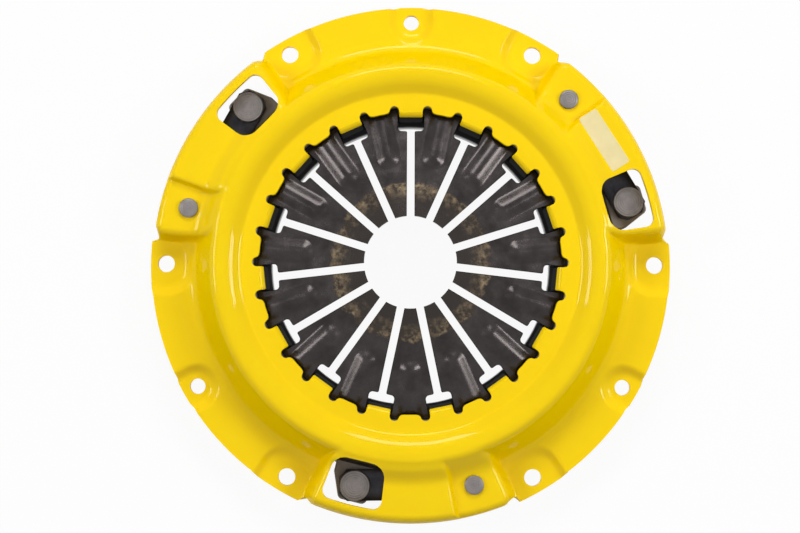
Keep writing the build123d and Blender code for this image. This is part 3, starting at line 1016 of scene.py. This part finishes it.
def mottled_material(name, mottle, scales, shades, finish, tooth, specular=0.5):
    """Material whose colour wanders between two shades with the mottling, with a fine tooth.
    The scales are the mottling's two, and the tooth is the bump's strength and distance."""
    material, nodes, links, shader = new_material(name, *finish)
    shader.inputs["Specular IOR Level"].default_value = specular
    spots = add_group(nodes, mottle, Blotch_Scale=scales[0], Speckle_Scale=scales[1])
    colour = mix_colours(nodes, links, spots.outputs["Blotch"], *shades)
    links.new(colour, shader.inputs["Base Color"])
    bump(nodes, links, shader, spots.outputs["Speckle"], *tooth)
    return material


def yellow_paint(mottle):
    """Glossy yellow powder coat with faint orange peel and slight unevenness."""
    shades = ((0.92, 0.625, 0.0), (0.94, 0.65, 0.0))
    rough, metallic, coat, coat_rough = 0.5, 0.0, 0.27, 0.05
    finish = (rough, metallic, coat, coat_rough)
    return mottled_material("yellow_powder_coat", mottle, (28.0, 260.0), shades, finish, (0.05, 0.0004), 0.0)


def spring_steel(mottle, distance):
    """Charcoal heat treated spring steel, brown and gold where the tips were hardened."""
    material, nodes, links, shader = new_material("heat_treated_spring_steel", 0.3, 0.75)
    spots = add_group(nodes, mottle, Blotch_Scale=110.0, Speckle_Scale=1500.0)
    dark = mix_colours(nodes, links, spots.outputs["Blotch"], (0.025, 0.021, 0.0205), (0.048, 0.041, 0.04))
    ragged = add_group(nodes, distance, Wobble=9.0, Scale=150.0)
    tinted = map_range(nodes, links, ragged.outputs["Radius"], 41.8, 40.4)
    gold = add_group(nodes, mottle, Blotch_Scale=130.0, Speckle_Scale=420.0)
    stain = math_node(nodes, links, "MULTIPLY", gold.outputs["Blotch"], gold.outputs["Speckle"])
    stained = map_range(nodes, links, stain, 0.10, 0.75)
    edge = map_range(nodes, links, ragged.outputs["Radius"], 31.0, 40.5)
    golden = mix_colours(nodes, links, stained, (0.042, 0.032, 0.025), (0.27, 0.20, 0.12))
    brown = mix_colours(nodes, links, edge, (0.034, 0.028, 0.025), golden)
    colour = mix_colours(nodes, links, tinted, dark, brown)
    links.new(colour, shader.inputs["Base Color"])
    rough = map_range(nodes, links, spots.outputs["Blotch"], 0.0, 1.0, 0.18, 0.30)
    links.new(rough, shader.inputs["Roughness"])
    bump(nodes, links, shader, spots.outputs["Speckle"], 0.05, 0.0003)
    return material


def plain_steel(name, mottle, shades, rough, metallic, specular=0.5):
    """Steel whose colour wanders between two shades, with a fine tooth."""
    scales, tooth = (140.0, 1400.0), (0.12, 0.0003)
    return mottled_material(name, mottle, scales, shades, (rough, metallic), tooth, specular)


def turned_head(mottle):
    """Grey brown rivet steel with concentric turning marks about each rivet's own centre."""
    material, nodes, links, shader = new_material("turned_rivet_steel", 0.45, 0.55)
    spots = add_group(nodes, mottle, Blotch_Scale=240.0, Speckle_Scale=1500.0)
    colour = mix_colours(nodes, links, spots.outputs["Blotch"], (0.165, 0.15, 0.145), (0.225, 0.205, 0.20))
    links.new(colour, shader.inputs["Base Color"])
    attribute = nodes.new("ShaderNodeAttribute")
    attribute.attribute_name = "from_axis"
    away = nodes.new("ShaderNodeVectorMath")
    away.operation = "LENGTH"
    links.new(attribute.outputs["Vector"], away.inputs[0])
    turns = math_node(nodes, links, "MULTIPLY", away.outputs["Value"], 5.2)
    bump(nodes, links, shader, math_node(nodes, links, "SINE", turns), 0.22, 0.0002)
    return material


def cast_iron(mottle, distance):
    """Grey casting, dull and grainy, with fine turned rings where the friction face is machined.
    The top inside a radius of 84 to 92 mm is painted nearly black, a painted shadow for the shade
    under the spring. Each pair of places is where a mask starts and where it is full, as radii in
    millimetres or as heights in metres."""
    painted_shade_r, bore_wall_r = (92.0, 84.0), (75.1, 74.9)
    face_height, bore_height = (-0.0110, -0.0116), (-0.0056, -0.0062)
    material, nodes, links, shader = new_material("cast_iron_plate", 0.5, 0.3)
    spots = add_group(nodes, mottle, Blotch_Scale=90.0, Speckle_Scale=800.0)
    cast = mix_colours(nodes, links, spots.outputs["Blotch"], (0.17, 0.147, 0.13), (0.26, 0.225, 0.20))
    radius = add_group(nodes, distance, Wobble=0.0, Scale=1.0).outputs["Radius"]
    # Painted shadow: inside about 88 mm the casting's top is darkened to nearly black, for the shade under
    # the spring
    shaded = map_range(nodes, links, radius, *painted_shade_r)
    cast = mix_colours(nodes, links, shaded, cast, (0.006, 0.006, 0.006))
    place = nodes.new("ShaderNodeTexCoord")
    split = nodes.new("ShaderNodeSeparateXYZ")
    links.new(place.outputs["Object"], split.inputs[0])
    low = map_range(nodes, links, split.outputs["Z"], *face_height)
    wall = map_range(nodes, links, radius, *bore_wall_r)
    under = map_range(nodes, links, split.outputs["Z"], *bore_height)
    bore = math_node(nodes, links, "MULTIPLY", wall, under)
    face = math_node(nodes, links, "MAXIMUM", low, bore)
    colour = mix_colours(nodes, links, face, cast, (0.42, 0.41, 0.40))
    links.new(colour, shader.inputs["Base Color"])
    rough = map_range(nodes, links, face, 0.0, 1.0, 0.6, 0.33)
    links.new(rough, shader.inputs["Roughness"])
    rings = math_node(nodes, links, "SINE", math_node(nodes, links, "MULTIPLY", radius, 9.0))
    marks = math_node(nodes, links, "MULTIPLY", rings, face)
    grain = math_node(nodes, links, "MULTIPLY_ADD", spots.outputs["Speckle"], 0.6, marks)
    bump(nodes, links, shader, grain, 0.2, 0.0002)
    return material


def label_paper(mottle):
    """Cream label stock with a soft sheen and faint fibre."""
    shades = ((0.74, 0.63, 0.31), (0.80, 0.69, 0.37))
    return mottled_material("cream_label_stock", mottle, (120.0, 2200.0), shades, (0.42, 0.0), (0.05, 0.0001))


def mark_centres():
    """Writes on each rivet where every corner lies from the rivet's own axis, for its turned rings."""
    for piece in bpy.context.scene.objects:
        if piece.type == "MESH" and piece.name.startswith(("lug_rivet_", "cover_rivet_")):
            points = np.zeros(len(piece.data.vertices) * 3)
            piece.data.vertices.foreach_get("co", points)
            points = points.reshape(-1, 3)
            centre = (points.min(0) + points.max(0)) / 2
            away = (points - centre) / MM * np.array([1.0, 1.0, 0.0])
            field = piece.data.attributes.new("from_axis", "FLOAT_VECTOR", "POINT")
            field.data.foreach_set("vector", away.ravel().astype(np.float32))


def background_rays(nodes, links):
    """One for camera, glossy and transmission rays, and zero for the rays that carry light."""
    path = nodes.new("ShaderNodeLightPath").outputs
    seen = math_node(nodes, links, "MAXIMUM", path["Is Camera Ray"], path["Is Glossy Ray"])
    return math_node(nodes, links, "MAXIMUM", seen, path["Is Transmission Ray"])


def mix_shaders(nodes, links, share, first, second):
    """Shader that goes from the first to the second with the share."""
    mix = nodes.new("ShaderNodeMixShader")
    for socket, value in zip(mix.inputs, (share, first.outputs[0], second.outputs[0])):
        links.new(value, socket)
    return mix


# How much of the floor's look is its own white, and how bright the surroundings are as a light
floor_glow = 0.93
surroundings = 0.04


def studio_floor():
    """Pale floor under the plate, white to the camera with a faint shadow, clear from below."""
    half, clearance = 3000.0, 0.2
    z = plate_face_z - clearance
    points = [(-half, -half, z), (half, -half, z), (half, half, z), (-half, half, z)]
    material = bpy.data.materials.new("pale_floor")
    material.use_nodes = True
    nodes, links = material.node_tree.nodes, material.node_tree.links
    nodes.clear()
    diffuse = nodes.new("ShaderNodeBsdfDiffuse")
    diffuse.inputs["Color"].default_value = (0.8, 0.8, 0.8, 1)
    glow = nodes.new("ShaderNodeEmission")
    glow.inputs["Color"].default_value = (1, 1, 1, 1)
    share = math_node(nodes, links, "MULTIPLY", background_rays(nodes, links), floor_glow)
    above = mix_shaders(nodes, links, share, diffuse, glow)
    clear = nodes.new("ShaderNodeBsdfTransparent")
    back = nodes.new("ShaderNodeNewGeometry").outputs["Backfacing"]
    out = nodes.new("ShaderNodeOutputMaterial")
    links.new(mix_shaders(nodes, links, back, above, clear).outputs[0], out.inputs["Surface"])
    make_mesh("studio_floor", points, [[0, 1, 2, 3]], material)


def studio_world():
    """Even surroundings, white to camera, glossy and transmission rays, dimmer as a light."""
    world = bpy.data.worlds.new("pale_surroundings")
    bpy.context.scene.world = world
    world.use_nodes = True
    nodes, links = world.node_tree.nodes, world.node_tree.links
    back = nodes["Background"]
    back.inputs["Color"].default_value = (1, 1, 1, 1)
    level = map_range(nodes, links, background_rays(nodes, links), 0.0, 1.0, surroundings, 1.0)
    links.new(level, back.inputs["Strength"])


def soft_light(name, place, size, power):
    """Rectangular soft light at a place in millimetres, turned to face the part."""
    data = bpy.data.lights.new(name, "AREA")
    data.shape = "RECTANGLE"
    data.size, data.size_y = size[0] * MM, size[1] * MM
    data.energy = power
    lamp = bpy.data.objects.new(name, data)
    lamp.location = Vector(place) * MM
    lamp.rotation_euler = Vector(place).to_track_quat("Z", "Y").to_euler()
    bpy.context.scene.collection.objects.link(lamp)
    return lamp


def studio_lights():
    """A softbox behind and at each side, and a wide fill overhead that metal doesn't mirror."""
    soft_light("back_softbox", (0, 1100, 900), (700, 420), 9.4)
    soft_light("left_softbox", (-1050, 120, 850), (420, 380), 6.0)
    soft_light("right_softbox", (1050, 120, 850), (420, 380), 7.4)
    soft_light("overhead_fill", (0, -450, 1450), (2600, 2600), 11.0).visible_glossy = False


# Camera as the photograph was taken: almost straight down, leaning towards the near edge
image_width, image_height = 800, 533
pixels_per_mm = 1.87006
centre_px = (410.448, 264.915)
camera_distance = 800.0
camera_elevation = 86.9
camera_roll = -0.0034
sensor_width = 36.0


def photo_camera():
    """Camera whose lens, shift and lean put the part where it lies in the photograph's frame."""
    data = bpy.data.cameras.new("photo_camera")
    data.sensor_width = sensor_width
    data.lens = pixels_per_mm * camera_distance * sensor_width / image_width
    data.shift_x = -(centre_px[0] - image_width / 2) / image_width
    data.shift_y = (centre_px[1] - image_height / 2) / image_width
    data.clip_start, data.clip_end = 0.01, 20.0
    camera = bpy.data.objects.new("photo_camera", data)
    e = camera_elevation * DEG
    away = Vector((0.0, -math.cos(e), math.sin(e)))
    level = Matrix.Rotation(math.pi / 2 - e, 4, "X")
    roll = Matrix.Rotation(-camera_roll, 4, "Z")
    camera.matrix_world = Matrix.Translation(away * camera_distance * MM) @ level @ roll
    bpy.context.scene.collection.objects.link(camera)
    bpy.context.scene.camera = camera


def main():
    """Finishes first, then the pieces, the studio and the camera."""
    mottle, distance = blotch_group(), radius_group()
    paint = yellow_paint(mottle)
    # Bare steel darkened to near black, darker than bare steel is, as painted shade: for the tabs below the
    # bend and the walls of the bolt and dowel holes
    bare_steel_shadow_shades = ((0.003, 0.003, 0.003), (0.006, 0.006, 0.006))
    bright_shades = ((0.30, 0.29, 0.31), (0.42, 0.40, 0.42))
    strap_shades = ((0.014, 0.014, 0.018), (0.04, 0.038, 0.042))
    wire_shades = ((0.10, 0.095, 0.09), (0.16, 0.15, 0.145))
    dark = plain_steel("bare_steel_with_painted_shade", mottle, bare_steel_shadow_shades, 0.7, 0.0, specular=0.03)
    bright = plain_steel("bright_cut_edge", mottle, bright_shades, 0.35, 0.9)
    strap = plain_steel("blued_strap_steel", mottle, strap_shades, 0.36, 0.85)
    wire = plain_steel("drawn_wire", mottle, wire_shades, 0.35, 0.95)
    pressed_cover(paint, dark, bright)
    folded_tabs(paint, dark)
    spring_fingers(spring_steel(mottle, distance))
    fulcrum_wires(wire)
    plate_casting(cast_iron(mottle, distance))
    drive_straps(strap)
    rivets(turned_head(mottle))
    mark_centres()
    blank_label(label_paper(mottle))
    studio_floor()
    studio_world()
    studio_lights()
    photo_camera()
    bpy.context.scene.view_settings.view_transform = "Standard"


main()
